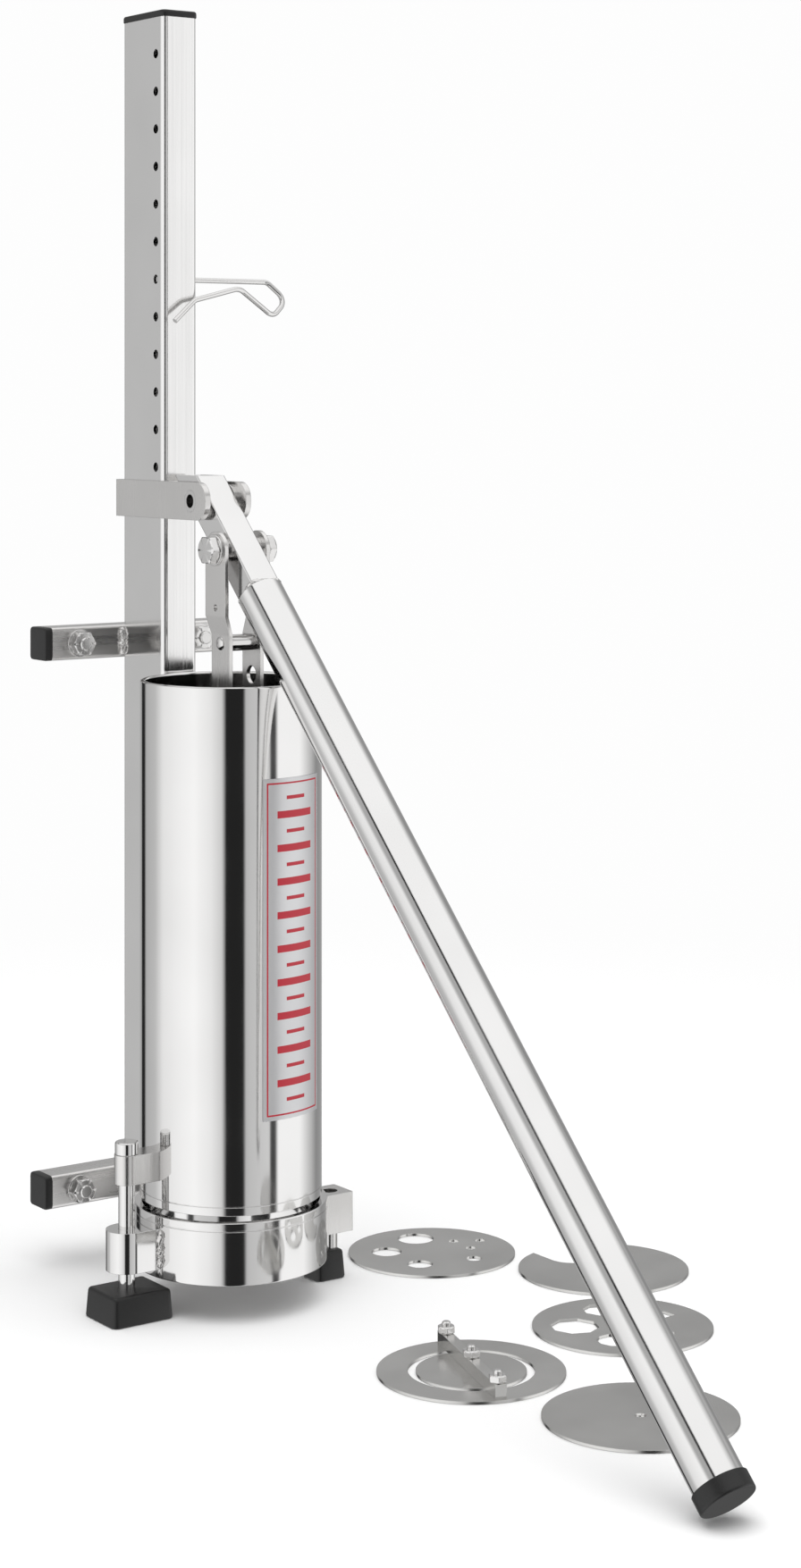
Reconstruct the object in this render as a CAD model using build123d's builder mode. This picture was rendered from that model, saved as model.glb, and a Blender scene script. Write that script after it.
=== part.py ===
# Pottery clay extruder: a lever press for a wall, with its spare dies laid out beside it.
# Millimetres. X runs across the machine, -Y is its front, +Z is up.
# The origin is the centre of the four wall studs, on the wall plane (Y = 0).
from build123d import *
from math import cos, pi, radians, sin
import os

os.makedirs("parts", exist_ok=True)

# clearances
running = 0.1            # radial clearance of a pin in its hole
side_gap = 0.3           # side clearance between plates that slide or turn

# heights above the floor
post_foot_height = 28
upper_bar_height = 472
lower_bar_height = 58
barrel_foot_height = 76
barrel_length = 376
collar_height = 27.5
foot_height = 21
yoke_height = 582        # fulcrum of the lever, with the yoke at its lowest hole

# post and wall bars
post_depth = 60
post_width = 30
post_wall = 2.5
post_length = 917
post_corner = 4
cap_thickness = 5
cap_overhang = 0.6
cap_plug = 14
hole_pitch = 28.3
hole_diameter = 7
hole_set_back = 11       # from the front face of the post to the row of holes
first_hole_above_yoke = 24
bar_side = 25
bar_wall = 2
bar_length = 152
bar_cap_length = 6
stud_spacing = 106
stud_diameter = 10
stud_reach = 24          # length of stud behind the wall plane
stud_tail_diameter = 9   # of that length, which goes into the wall
stud_chamfer = 1
stud_end = 2             # stud past its nut
washer_diameter = 21
washer_thickness = 2
nut_across_flats = 17
nut_height = 8
weld_size = 4
weld_inset = 2           # ends of a weld to the edges of the bar

# barrel
barrel_diameter = 133
barrel_wall = 4
barrel_band_height = 6
barrel_band_step = 0.6
barrel_stand_off = 5     # barrel wall to the front face of the post
saddle_width = 24
saddle_height = 34
saddle_inset = 40        # ends of the barrel to the saddles
rim_radius = 1.2
label_width = 57
label_height = 244
label_thickness = 0.5
label_glue = 0.2         # glue between the label and the barrel, not modelled
label_bottom = 66        # above the foot of the barrel
label_turn = 78          # degrees round the barrel from its right side

# die collar and its hinge
collar_gap = 4
collar_diameter = 141
collar_wall = 5.5
collar_ledge = 8         # width of the ledge that the die sits on
collar_ledge_height = 6
rim_band_height = 5.5
rim_groove = 0.8
rim_groove_depth = 0.7
lug_reach = 88           # barrel axis to hinge pin axis
lug_radius = 15
lug_bottom = 7           # above the foot of the collar
lug_height = 29
pin_diameter = 12
pin_head_diameter = 17
pin_head_height = 9
knuckle_wall = 3
upper_lug_height = 21
upper_lug_bottom = 20    # above the foot of the barrel
foot_length = 50
foot_width = 44
foot_offset = 2          # from the pin axis towards the barrel
latch_foot_length = 26
latch_foot_width = 24
latch_foot_offset = 5    # from the stud axis towards the barrel
foot_taper = 3
foot_socket = 10
latch_lug_end = 12       # lug hole to the end of the lug
latch_hole_inset = 1
latch_lug_width = 26
latch_stud_grip = 8      # length of foot stud inside the lug
lug_sink = 6             # lug blank inside the rim of the collar, cut away to fit it
circlip_width = 2
circlip_thickness = 1.4
circlip_gap = 0.4
lug_weld_size = 4

# yoke and fulcrum
yoke_plate = 4.5
yoke_web = 3
yoke_band = 28
fulcrum_front = 46       # front face of the post to the fulcrum axis
arm_end = 22             # fulcrum axis to the rounded end of the arm
pad_depth = 5            # the rear corner of the lever head passes just in front of it
pad_drop = 8             # yoke band height less pad height
pad_rise = 4
fulcrum_diameter = 16
fulcrum_bore = 10
fulcrum_head = 24
fulcrum_head_height = 4

# lever
lever_angle = 45         # below the horizontal
pivot_distance = 49      # fulcrum to the plunger bolt, along the lever
head_side = 24
head_wall = 4
head_top = 18.5          # height of the level cut above the fulcrum
head_tail = 44           # plunger bolt to the shoulder of the head
lever_diameter = 34
lever_wall = 2
lever_cap_length = 9
lever_cap_end = 3
lever_cap_wall = 1.5
spigot_length = 30

# plunger
strap_thickness = 3
strap_top_width = 27
strap_width = 24
strap_joggle = 4.5
strap_top_reach = 48     # plunger bolt to the joggle
joggle_length = 14
bolt_diameter = 12
bolt_head_flats = 19
bolt_head_height = 7
bolt_end = 2             # bolt past its nut
bolt_washer = 23
spacer_wall = 3
rivet_diameter = 6
rivet_head = 10
rivet_head_height = 2
rivet_drop = 68
key_hole_diameter = 5
key_hole_drop = 42
cross_hole_diameter = 13
cross_hole_drop = 92
spacer_diameter = 12
piston_clearance = 2.5   # a guess; the plate is hidden in the barrel
piston_thickness = 12
piston_rest = 20.35      # foot of the barrel to the piston, with the lever down
piston_lug = 14
slot_travel = 16
slot_play = 2
lug_wall = 7             # ends of the slot to the ends of the lug
foot_pin_diameter = 10
lug_stand = 26           # top of the piston to the foot pin
lug_rise = 14            # foot pin to the top of the lug

# hitch pin
clip_wire = 4
clip_hole = 5            # hole number, counted up from the yoke
clip_length = 98
clip_set_in = 1.5        # far face of the post to the tip of the pin
# the wavy leg runs back from the loop: step along X, forward, and down at each bend
clip_bends = [(14, 6, 14), (-2, 12, 27), (-36, 17, 6), (-78, 21, 16), (-97, 24, 32)]
clip_radii = [7, 9, 9, 12, 10]

# spare dies
die_diameter = 128
die_thickness = 2
core_diameter = 75
pipe_bore = 86
bridge_width = 8
bridge_height = 9
bridge_bolt = 6
bridge_nut = 11
bridge_nut_height = 5
bridge_bolt_rise = 8     # above the bridge
bridge_end = 7           # outer bolt to the end of the bridge
# holes as x, y and radius, from the centre of the die
round_holes = [(10, 35, 14), (-29, 19, 11.5), (-27, -22, 9.7), (15, -34, 6.2),
               (30, 12, 4.3), (48, 2, 4.3), (30, -10, 4.3)]
polygon_holes = [(-29, 18, 17.5), (10, 36, 13.6), (-25, -23, 13.8)]
polygon_sides = [8, 8, 10]
square_hole = (37, 3.5)
square_side = 16
small_hole = (15, -33)
small_hole_radius = 4.4
slot_width = 38
slot_depth = 45          # rim of the die to the bottom of the slot
slotted_centre_hole = 7
blank_centre_hole = 5.6

# derived places
wall_mid = (upper_bar_height + lower_bar_height) / 2
bar_rise = (upper_bar_height - lower_bar_height) / 2
floor = -wall_mid
post_back = -bar_side
post_front = post_back - post_depth
post_y = (post_back + post_front) / 2
barrel_y = post_front - barrel_stand_off - barrel_diameter / 2
barrel_radius = barrel_diameter / 2
barrel_foot = floor + barrel_foot_height
barrel_top = barrel_foot + barrel_length
collar_foot = floor + collar_height
collar_bore = collar_diameter - 2 * collar_wall
collar_ledge_bore = collar_bore - 2 * collar_ledge
collar_top = barrel_foot - collar_gap
fulcrum_y = post_front - fulcrum_front
fulcrum_z = floor + yoke_height
down = radians(lever_angle)
bolt_y = fulcrum_y - pivot_distance * cos(down)
bolt_z = fulcrum_z - pivot_distance * sin(down)
arm_inside = post_width / 2 + side_gap
arm_outside = arm_inside + yoke_plate
strap_outside = arm_outside - 0.5
strap_inside = strap_outside - strap_thickness
low_inside = strap_inside - strap_joggle
foot_pin_z = barrel_foot + piston_rest + piston_thickness + lug_stand
strap_foot = foot_pin_z - strap_width / 2
piston_radius = barrel_radius - barrel_wall - piston_clearance
hole_row_y = post_front + hole_set_back
post_foot = floor + post_foot_height
post_top = post_foot + post_length
first_hole = fulcrum_z + first_hole_above_yoke
hole_count = int((post_top - hole_pitch / 2 - first_hole) / hole_pitch) + 1


def export(solid, name):
    solid.label = name
    export_step(solid, f"parts/{name}.step")


def hexagon(across_flats):
    return across_flats / 3 ** 0.5


# ---------------------------------------------------------------- post
with BuildPart() as post_tube:
    with BuildSketch(Plane.XY.offset(post_foot)):
        with Locations((0, post_y)):
            RectangleRounded(post_width, post_depth, post_corner)
            RectangleRounded(post_width - 2 * post_wall, post_depth - 2 * post_wall,
                             post_corner - post_wall, mode=Mode.SUBTRACT)
    extrude(amount=post_length)
    with BuildSketch(Plane.YZ.offset(-post_width)):
        for number in range(hole_count):
            with Locations((hole_row_y, first_hole + number * hole_pitch)):
                Circle(hole_diameter / 2)
    extrude(amount=2 * post_width, mode=Mode.SUBTRACT)
export(post_tube.part, "post_tube")

with BuildPart() as post_top_cap:
    with BuildSketch(Plane.XY.offset(post_top)):
        with Locations((0, post_y)):
            RectangleRounded(post_width + 2 * cap_overhang, post_depth + 2 * cap_overhang, post_corner)
    extrude(amount=cap_thickness)
    fillet(post_top_cap.faces().sort_by(Axis.Z)[-1].edges(), 1.5)
    with BuildSketch(Plane.XY.offset(post_top)):
        with Locations((0, post_y)):
            Rectangle(post_width - 2 * post_wall - side_gap, post_depth - 2 * post_wall - side_gap)
    extrude(amount=-cap_plug)
    fillet(post_top_cap.part.edges().filter_by(Axis.Z).group_by(Axis.Z)[0], 1.2)
export(post_top_cap.part, "post_top_cap")


# ---------------------------------------------------------------- wall bars
def bar_node(name, height):
    with BuildPart() as bar:
        with BuildSketch(Plane.YZ.offset(-bar_length / 2)):
            with Locations((-bar_side / 2, height)):
                RectangleRounded(bar_side, bar_side, 3)
                RectangleRounded(bar_side - 2 * bar_wall, bar_side - 2 * bar_wall, 1, mode=Mode.SUBTRACT)
        extrude(amount=bar_length)
        with BuildSketch(Plane.XZ.offset(-bar_side)):
            with Locations((-stud_spacing / 2, height), (stud_spacing / 2, height)):
                Circle(stud_diameter / 2)
        extrude(amount=4 * bar_side, both=True, mode=Mode.SUBTRACT)
    export(bar.part, name)


def bar_cap_node(name, height):
    with BuildPart() as caps:
        for side in (-1, 1):
            end = Plane.YZ.offset(side * bar_length / 2)
            with BuildSketch(end):
                with Locations((-bar_side / 2, height)):
                    RectangleRounded(bar_side, bar_side, 3)
            extrude(amount=side * bar_cap_length)
            with BuildSketch(end):
                plug = bar_side - 2 * bar_wall - side_gap
                with Locations((-bar_side / 2, height)):
                    RectangleRounded(plug, plug, 1.5)
                    Rectangle(plug - 2 * bar_wall, plug - 2 * bar_wall, mode=Mode.SUBTRACT)
            extrude(amount=-side * 2 * bar_cap_length)
        fillet(caps.faces().sort_by(Axis.X)[0].edges(), 1.2)
        fillet(caps.faces().sort_by(Axis.X)[-1].edges(), 1.2)
    export(caps.part, name)


bar_node("upper_wall_bar", bar_rise)
bar_node("lower_wall_bar", -bar_rise)
bar_cap_node("upper_bar_caps", bar_rise)
bar_cap_node("lower_bar_caps", -bar_rise)

stud_places = [(x, z) for x in (-stud_spacing / 2, stud_spacing / 2) for z in (-bar_rise, bar_rise)]
stud_front = bar_side + washer_thickness + nut_height + stud_end

with BuildPart() as wall_studs:
    with BuildSketch(Plane.XZ):
        with Locations(*stud_places):
            Circle(stud_diameter / 2)
    extrude(amount=stud_front)
    chamfer(wall_studs.faces().sort_by(Axis.Y)[:4].edges(), stud_chamfer)
    with BuildSketch(Plane.XZ):
        with Locations(*stud_places):
            Circle(stud_tail_diameter / 2)
    extrude(amount=-stud_reach)
    chamfer(wall_studs.faces().sort_by(Axis.Y)[-4:].edges(), stud_chamfer)
export(wall_studs.part, "wall_studs")

with BuildPart() as wall_washers:
    with BuildSketch(Plane.XZ.offset(bar_side)):
        with Locations(*stud_places):
            Circle(washer_diameter / 2)
            Circle(stud_diameter / 2, mode=Mode.SUBTRACT)
    extrude(amount=washer_thickness)
export(wall_washers.part, "wall_washers")

with BuildPart() as wall_nuts:
    with BuildSketch(Plane.XZ.offset(bar_side + washer_thickness)):
        with Locations(*stud_places):
            RegularPolygon(hexagon(nut_across_flats), 6, rotation=12)
            Circle(stud_diameter / 2, mode=Mode.SUBTRACT)
    extrude(amount=nut_height)
export(wall_nuts.part, "wall_nuts")

with BuildPart() as bar_welds:
    for z in (-bar_rise, bar_rise):
        for side in (-1, 1):
            with BuildSketch(Plane.XY.offset(z - bar_side / 2 + weld_inset)):
                inside = side * (post_width / 2 - post_corner)
                with BuildLine():
                    Polyline((inside, post_back), (inside, post_back - post_corner),
                             (side * post_width / 2, post_back - post_corner),
                             (side * (post_width / 2 + weld_size), post_back),
                             (inside, post_back))
                make_face()
                with Locations((0, post_y)):
                    RectangleRounded(post_width, post_depth, post_corner, mode=Mode.SUBTRACT)
            extrude(amount=bar_side - 2 * weld_inset)
export(bar_welds.part, "bar_welds")

# ---------------------------------------------------------------- barrel
with BuildPart() as barrel:
    with BuildSketch(Plane.XY.offset(barrel_foot)):
        with Locations((0, barrel_y)):
            Circle(barrel_radius)
            Circle(barrel_radius - barrel_wall, mode=Mode.SUBTRACT)
    extrude(amount=barrel_length)
    fillet(barrel.faces().sort_by(Axis.Z)[-1].edges(), rim_radius)
    with BuildSketch(Plane.XY.offset(barrel_foot + barrel_band_height)):
        with Locations((0, barrel_y)):
            Circle(barrel_radius + 1)
            Circle(barrel_radius - barrel_band_step, mode=Mode.SUBTRACT)
    extrude(amount=barrel_band_step, mode=Mode.SUBTRACT)
export(barrel.part, "barrel")

# two saddles, welded between the post and the barrel, leave room for the collar to turn
with BuildPart() as barrel_saddles:
    for height in (barrel_foot + saddle_inset, barrel_top - saddle_inset - saddle_height):
        with BuildSketch(Plane.XY.offset(height)):
            with Locations((0, post_front - barrel_stand_off)):
                Rectangle(saddle_width, 2 * barrel_stand_off)
            with Locations((0, barrel_y)):
                Circle(barrel_radius, mode=Mode.SUBTRACT)
        extrude(amount=saddle_height)
export(barrel_saddles.part, "barrel_saddles")

with BuildPart() as label_plate:
    with BuildSketch(Plane.XY.offset(barrel_foot + label_bottom)):
        half_angle = 180 * label_width / (2 * pi * barrel_radius)
        with Locations((0, barrel_y)):
            Circle(barrel_radius + label_glue + label_thickness)
            Circle(barrel_radius + label_glue, mode=Mode.SUBTRACT)
        with BuildLine(Plane.XY.offset(barrel_foot + label_bottom)):
            far = 2 * barrel_radius
            start = radians(-label_turn - half_angle)
            end = radians(-label_turn + half_angle)
            Polyline((0, barrel_y), (far * cos(start), barrel_y + far * sin(start)),
                     (far * cos(end), barrel_y + far * sin(end)), (0, barrel_y))
        make_face(mode=Mode.INTERSECT)
    extrude(amount=label_height)
export(label_plate.part, "label_plate")


def lug_outline(side, reach, radius, inner):
    with Locations((side * reach, barrel_y)):
        Circle(radius)
    with Locations((side * (reach + inner) / 2, barrel_y)):
        Rectangle(reach - inner, 2 * radius)


# ---------------------------------------------------------------- hinge of the collar
knuckle_radius = pin_diameter / 2 + knuckle_wall
with BuildPart() as barrel_hinge_lug:
    with BuildSketch(Plane.XY.offset(barrel_foot + upper_lug_bottom)):
        lug_outline(-1, lug_reach, knuckle_radius, barrel_radius - 3)
        with Locations((0, barrel_y)):
            Circle(barrel_radius, mode=Mode.SUBTRACT)
        with Locations((-lug_reach, barrel_y)):
            Circle(pin_diameter / 2 + running, mode=Mode.SUBTRACT)
    extrude(amount=upper_lug_height)
export(barrel_hinge_lug.part, "barrel_hinge_lug")

pin_top = barrel_foot + upper_lug_bottom + upper_lug_height
foot_top = floor + foot_height
with BuildPart() as hinge_pin:
    with BuildSketch(Plane.XY.offset(foot_top - foot_socket)):
        with Locations((-lug_reach, barrel_y)):
            Circle(pin_diameter / 2)
    extrude(amount=pin_top - foot_top + foot_socket)
    with BuildSketch(Plane.XY.offset(pin_top)):
        with Locations((-lug_reach, barrel_y)):
            Circle(pin_head_diameter / 2)
    extrude(amount=pin_head_height)
    chamfer(hinge_pin.faces().sort_by(Axis.Z)[-1].edges(), 1.2)
export(hinge_pin.part, "hinge_pin")

with BuildPart() as pin_circlip:
    with BuildSketch(Plane.XY.offset(collar_foot + lug_bottom - circlip_gap - circlip_thickness)):
        with Locations((-lug_reach, barrel_y)):
            Circle(pin_diameter / 2 + circlip_width)
            Circle(pin_diameter / 2, mode=Mode.SUBTRACT)
    extrude(amount=circlip_thickness)
export(pin_circlip.part, "pin_circlip")

with BuildPart() as die_collar:
    with BuildSketch(Plane.XY.offset(collar_foot)):
        with Locations((0, barrel_y)):
            Circle(collar_diameter / 2)
            Circle(collar_ledge_bore / 2, mode=Mode.SUBTRACT)
    extrude(amount=collar_top - collar_foot)
    with BuildSketch(Plane.XY.offset(collar_foot + collar_ledge_height)):
        with Locations((0, barrel_y)):
            Circle(collar_bore / 2)
    extrude(amount=collar_top - collar_foot, mode=Mode.SUBTRACT)
    with BuildSketch(Plane.XY.offset(collar_top - rim_band_height - rim_groove)):
        with Locations((0, barrel_y)):
            Circle(collar_diameter / 2 + 1)
            Circle(collar_diameter / 2 - rim_groove_depth, mode=Mode.SUBTRACT)
    extrude(amount=rim_groove, mode=Mode.SUBTRACT)
    chamfer(die_collar.faces().sort_by(Axis.Z)[-1].edges(), 0.6)
export(die_collar.part, "die_collar")

with BuildPart() as collar_hinge_lug:
    with BuildSketch(Plane.XY.offset(collar_foot + lug_bottom)):
        lug_outline(-1, lug_reach, lug_radius, collar_diameter / 2 - lug_sink)
        with Locations((0, barrel_y)):
            Circle(collar_diameter / 2, mode=Mode.SUBTRACT)
        with Locations((-lug_reach, barrel_y)):
            Circle(pin_diameter / 2 + running, mode=Mode.SUBTRACT)
    extrude(amount=lug_height)
export(collar_hinge_lug.part, "collar_hinge_lug")

with BuildPart() as collar_latch_lug:
    with BuildSketch(Plane.XY.offset(collar_foot + lug_bottom)):
        lug_end = lug_reach + latch_lug_end
        lug_start = collar_diameter / 2 - lug_sink
        with Locations(((lug_end + lug_start) / 2, barrel_y)):
            Rectangle(lug_end - lug_start, latch_lug_width)
        with Locations((0, barrel_y)):
            Circle(collar_diameter / 2, mode=Mode.SUBTRACT)
        with Locations((lug_reach - latch_hole_inset, barrel_y)):
            Circle(pin_diameter / 2 + running, mode=Mode.SUBTRACT)
    extrude(amount=lug_height)
    fillet(collar_latch_lug.edges().filter_by(Axis.Z).group_by(Axis.X)[-1], 1.5)
export(collar_latch_lug.part, "collar_latch_lug")

with BuildPart() as lug_welds:
    for side in (-1, 1):
        for edge in (-1, 1):
            half = lug_radius if side < 0 else latch_lug_width / 2
            reach = (collar_diameter ** 2 / 4 - half ** 2) ** 0.5
            with BuildSketch(Plane.XY.offset(collar_foot + lug_bottom + 1)):
                with BuildLine():
                    Polyline((side * (reach - 2.4), barrel_y + edge * half),
                             (side * (reach + lug_weld_size), barrel_y + edge * half),
                             (side * (reach - 1.4), barrel_y + edge * (half + lug_weld_size)),
                             (side * (reach - 2.4), barrel_y + edge * half))
                make_face()
                with Locations((0, barrel_y)):
                    Circle(collar_diameter / 2, mode=Mode.SUBTRACT)
            extrude(amount=lug_height - 2)
export(lug_welds.part, "lug_welds")


# ---------------------------------------------------------------- feet
def foot_node(name, axis_x, offset, length, width):
    with BuildPart() as foot:
        centre = axis_x + offset
        with BuildSketch(Plane.XY.offset(floor)):
            with Locations((centre, barrel_y)):
                RectangleRounded(length, width, 5)
        with BuildSketch(Plane.XY.offset(foot_top)):
            with Locations((centre, barrel_y)):
                RectangleRounded(length - foot_taper, width - foot_taper, 4)
        loft()
        with BuildSketch(Plane.XY.offset(foot_top)):
            with Locations((axis_x, barrel_y)):
                Circle(pin_diameter / 2)
        extrude(amount=-foot_socket, mode=Mode.SUBTRACT)
    export(foot.part, name)


latch_stud_x = lug_reach - latch_hole_inset
foot_node("hinge_side_foot", -lug_reach, foot_offset, foot_length, foot_width)
foot_node("latch_side_foot", latch_stud_x, -latch_foot_offset, latch_foot_length, latch_foot_width)

with BuildPart() as latch_foot_stud:
    with BuildSketch(Plane.XY.offset(foot_top - foot_socket)):
        with Locations((latch_stud_x, barrel_y)):
            Circle(pin_diameter / 2)
    extrude(amount=collar_foot + lug_bottom - foot_top + foot_socket + latch_stud_grip)
export(latch_foot_stud.part, "latch_foot_stud")

# ---------------------------------------------------------------- yoke
yoke_back = post_back + side_gap
yoke_front = fulcrum_y - arm_end
with BuildPart() as yoke_strap:
    with BuildSketch(Plane.XY.offset(fulcrum_z - yoke_band / 2)):
        with BuildLine():
            Polyline((-arm_outside, yoke_front), (-arm_outside, yoke_back + yoke_web),
                     (arm_outside, yoke_back + yoke_web), (arm_outside, yoke_front),
                     (arm_inside, yoke_front), (arm_inside, yoke_back),
                     (-arm_inside, yoke_back), (-arm_inside, yoke_front),
                     (-arm_outside, yoke_front))
        make_face()
    extrude(amount=yoke_band)
    fillet(yoke_strap.edges().filter_by(Axis.X).group_by(Axis.Y)[0], yoke_band / 2 - 1)
    fillet(yoke_strap.edges().filter_by(Axis.Z).group_by(Axis.Y)[-1], 2.5)
    with BuildSketch(Plane.YZ.offset(-2 * arm_outside)):
        with Locations((fulcrum_y, fulcrum_z)):
            Circle(fulcrum_diameter / 2)
    extrude(amount=4 * arm_outside, mode=Mode.SUBTRACT)
export(yoke_strap.part, "yoke_strap")

with BuildPart() as yoke_pad:
    with Locations((0, post_front - side_gap - pad_depth / 2, fulcrum_z + pad_rise)):
        Box(2 * arm_inside, pad_depth, yoke_band - pad_drop)
    fillet(yoke_pad.edges().filter_by(Axis.X), 1)
export(yoke_pad.part, "yoke_pad")

with BuildPart() as fulcrum_sleeve:
    with BuildSketch(Plane.YZ.offset(-arm_outside)):
        with Locations((fulcrum_y, fulcrum_z)):
            Circle(fulcrum_diameter / 2)
            Circle(fulcrum_bore / 2, mode=Mode.SUBTRACT)
    extrude(amount=2 * arm_outside)
    with BuildSketch(Plane.YZ.offset(arm_outside)):
        with Locations((fulcrum_y, fulcrum_z)):
            Circle(fulcrum_head / 2)
            Circle(fulcrum_bore / 2, mode=Mode.SUBTRACT)
    extrude(amount=fulcrum_head_height)
export(fulcrum_sleeve.part, "fulcrum_sleeve")

with BuildPart() as fulcrum_spacers:
    for side in (-1, 1):
        with BuildSketch(Plane.YZ.offset(side * (head_side / 2 + side_gap / 2))):
            with Locations((fulcrum_y, fulcrum_z)):
                Circle(fulcrum_head / 2)
                Circle(fulcrum_diameter / 2, mode=Mode.SUBTRACT)
        extrude(amount=side * (arm_inside - head_side / 2 - side_gap / 2))
export(fulcrum_spacers.part, "fulcrum_spacers")

# ---------------------------------------------------------------- lever
along = (0, -cos(down), -sin(down))
lever_plane = Plane(origin=(0, fulcrum_y, fulcrum_z), x_dir=(1, 0, 0), z_dir=along)
shoulder = pivot_distance + head_tail
# the rim of the end cap rests on the floor
cap_radius = lever_diameter / 2 + lever_cap_wall
lever_reach = (yoke_height - cap_radius * cos(down)) / sin(down)
lever_length = lever_reach - lever_cap_end - shoulder

with BuildPart() as lever_head:
    with BuildSketch(lever_plane.offset(-2 * head_side)):
        RectangleRounded(head_side, head_side, 2)
        with Locations((0, 0)):
            Rectangle(head_side - 2 * head_wall, head_side - 2 * head_wall, mode=Mode.SUBTRACT)
    extrude(amount=2 * head_side + shoulder)
    with BuildSketch(lever_plane.offset(shoulder)):
        Circle(lever_diameter / 2 - lever_wall)
    extrude(amount=spigot_length)
    with BuildSketch(Plane.XY.offset(fulcrum_z + head_top)):
        with Locations((0, fulcrum_y)):
            Rectangle(8 * head_side, 8 * head_side)
    extrude(amount=4 * head_side, mode=Mode.SUBTRACT)
    with BuildSketch(Plane.YZ.offset(-head_side)):
        with Locations((fulcrum_y, fulcrum_z)):
            Circle(fulcrum_diameter / 2 + running)
        with Locations((bolt_y, bolt_z)):
            Circle(bolt_diameter / 2 + running)
    extrude(amount=2 * head_side, mode=Mode.SUBTRACT)
export(lever_head.part, "lever_head")

with BuildPart() as lever_tube:
    with BuildSketch(lever_plane.offset(shoulder)):
        Circle(lever_diameter / 2)
        Circle(lever_diameter / 2 - lever_wall, mode=Mode.SUBTRACT)
    extrude(amount=lever_length)
export(lever_tube.part, "lever_tube")

tube_end = shoulder + lever_length
with BuildPart() as lever_end_cap:
    with BuildSketch(lever_plane.offset(tube_end - lever_cap_length)):
        Circle(cap_radius)
        Circle(lever_diameter / 2, mode=Mode.SUBTRACT)
    extrude(amount=lever_cap_length)
    with BuildSketch(lever_plane.offset(tube_end)):
        Circle(cap_radius)
    extrude(amount=lever_cap_end)
    fillet(lever_end_cap.edges().sort_by(Axis(origin=(0, 0, 0), direction=along))[-1], 1)
export(lever_end_cap.part, "lever_end_cap")

with BuildPart() as head_weld:
    with BuildSketch(lever_plane.offset(shoulder - weld_size)):
        Circle(lever_diameter / 2 - 0.5)
        Rectangle(head_side, head_side, mode=Mode.SUBTRACT)
    extrude(amount=weld_size)
export(head_weld.part, "head_weld")


# ---------------------------------------------------------------- plunger
def strap_node(name, side, cross_hole):
    with BuildPart() as strap:
        top = bolt_z + strap_top_width / 2
        bend = bolt_z - strap_top_reach
        low = bend - joggle_length
        outer = side * strap_outside
        inner = side * strap_inside
        step = side * strap_joggle
        with BuildSketch(Plane.XZ.offset(-bolt_y - strap_top_width / 2)):
            with BuildLine():
                Polyline((outer, top), (outer, bend), (outer - step, low), (outer - step, strap_foot),
                         (inner - step, strap_foot), (inner - step, low), (inner, bend), (inner, top),
                         (outer, top))
            make_face()
        extrude(amount=strap_top_width)
        with BuildSketch(Plane.YZ.offset(-2 * arm_outside)):
            with BuildLine():
                half = strap_top_width / 2
                narrow = strap_width / 2
                base = strap_foot + narrow
                Line((bolt_y - half, bolt_z), (bolt_y - half, bend))
                Line((bolt_y - half, bend), (bolt_y - narrow, low))
                Line((bolt_y - narrow, low), (bolt_y - narrow, base))
                ThreePointArc((bolt_y - narrow, base), (bolt_y, strap_foot), (bolt_y + narrow, base))
                Line((bolt_y + narrow, base), (bolt_y + narrow, low))
                Line((bolt_y + narrow, low), (bolt_y + half, bend))
                Line((bolt_y + half, bend), (bolt_y + half, bolt_z))
                ThreePointArc((bolt_y + half, bolt_z), (bolt_y, bolt_z + half), (bolt_y - half, bolt_z))
            make_face()
        extrude(amount=4 * arm_outside, mode=Mode.INTERSECT)
        with BuildSketch(Plane.YZ.offset(-2 * arm_outside)):
            with Locations((bolt_y, bolt_z)):
                Circle(bolt_diameter / 2)
            with Locations((bolt_y, bolt_z - key_hole_drop)):
                Circle(key_hole_diameter / 2)
            with Locations((bolt_y, bolt_z - rivet_drop)):
                Circle(rivet_diameter / 2)
            with Locations((bolt_y, strap_foot + narrow)):
                Circle(foot_pin_diameter / 2)
            if cross_hole:
                with Locations((bolt_y, bolt_z - cross_hole_drop)):
                    Circle(cross_hole_diameter / 2)
        extrude(amount=4 * arm_outside, mode=Mode.SUBTRACT)
    export(strap.part, name)


strap_node("hinge_side_strap", -1, False)
strap_node("latch_side_strap", 1, True)

with BuildPart() as plunger_bolt:
    with BuildSketch(Plane.YZ.offset(-strap_outside - washer_thickness)):
        with Locations((bolt_y, bolt_z)):
            Circle(bolt_diameter / 2)
    extrude(amount=2 * strap_outside + 2 * washer_thickness + bolt_head_height + bolt_end)
    with BuildSketch(Plane.YZ.offset(-strap_outside - washer_thickness)):
        with Locations((bolt_y, bolt_z)):
            RegularPolygon(hexagon(bolt_head_flats), 6, rotation=20)
    extrude(amount=-bolt_head_height)
export(plunger_bolt.part, "plunger_bolt")

with BuildPart() as plunger_nut:
    with BuildSketch(Plane.YZ.offset(strap_outside + washer_thickness)):
        with Locations((bolt_y, bolt_z)):
            RegularPolygon(hexagon(bolt_head_flats), 6)
            Circle(bolt_diameter / 2, mode=Mode.SUBTRACT)
    extrude(amount=bolt_head_height)
export(plunger_nut.part, "plunger_nut")

with BuildPart() as plunger_washers:
    for side in (-1, 1):
        with BuildSketch(Plane.YZ.offset(side * strap_outside)):
            with Locations((bolt_y, bolt_z)):
                Circle(bolt_washer / 2)
                Circle(bolt_diameter / 2, mode=Mode.SUBTRACT)
        extrude(amount=side * washer_thickness)
export(plunger_washers.part, "plunger_washers")

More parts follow.
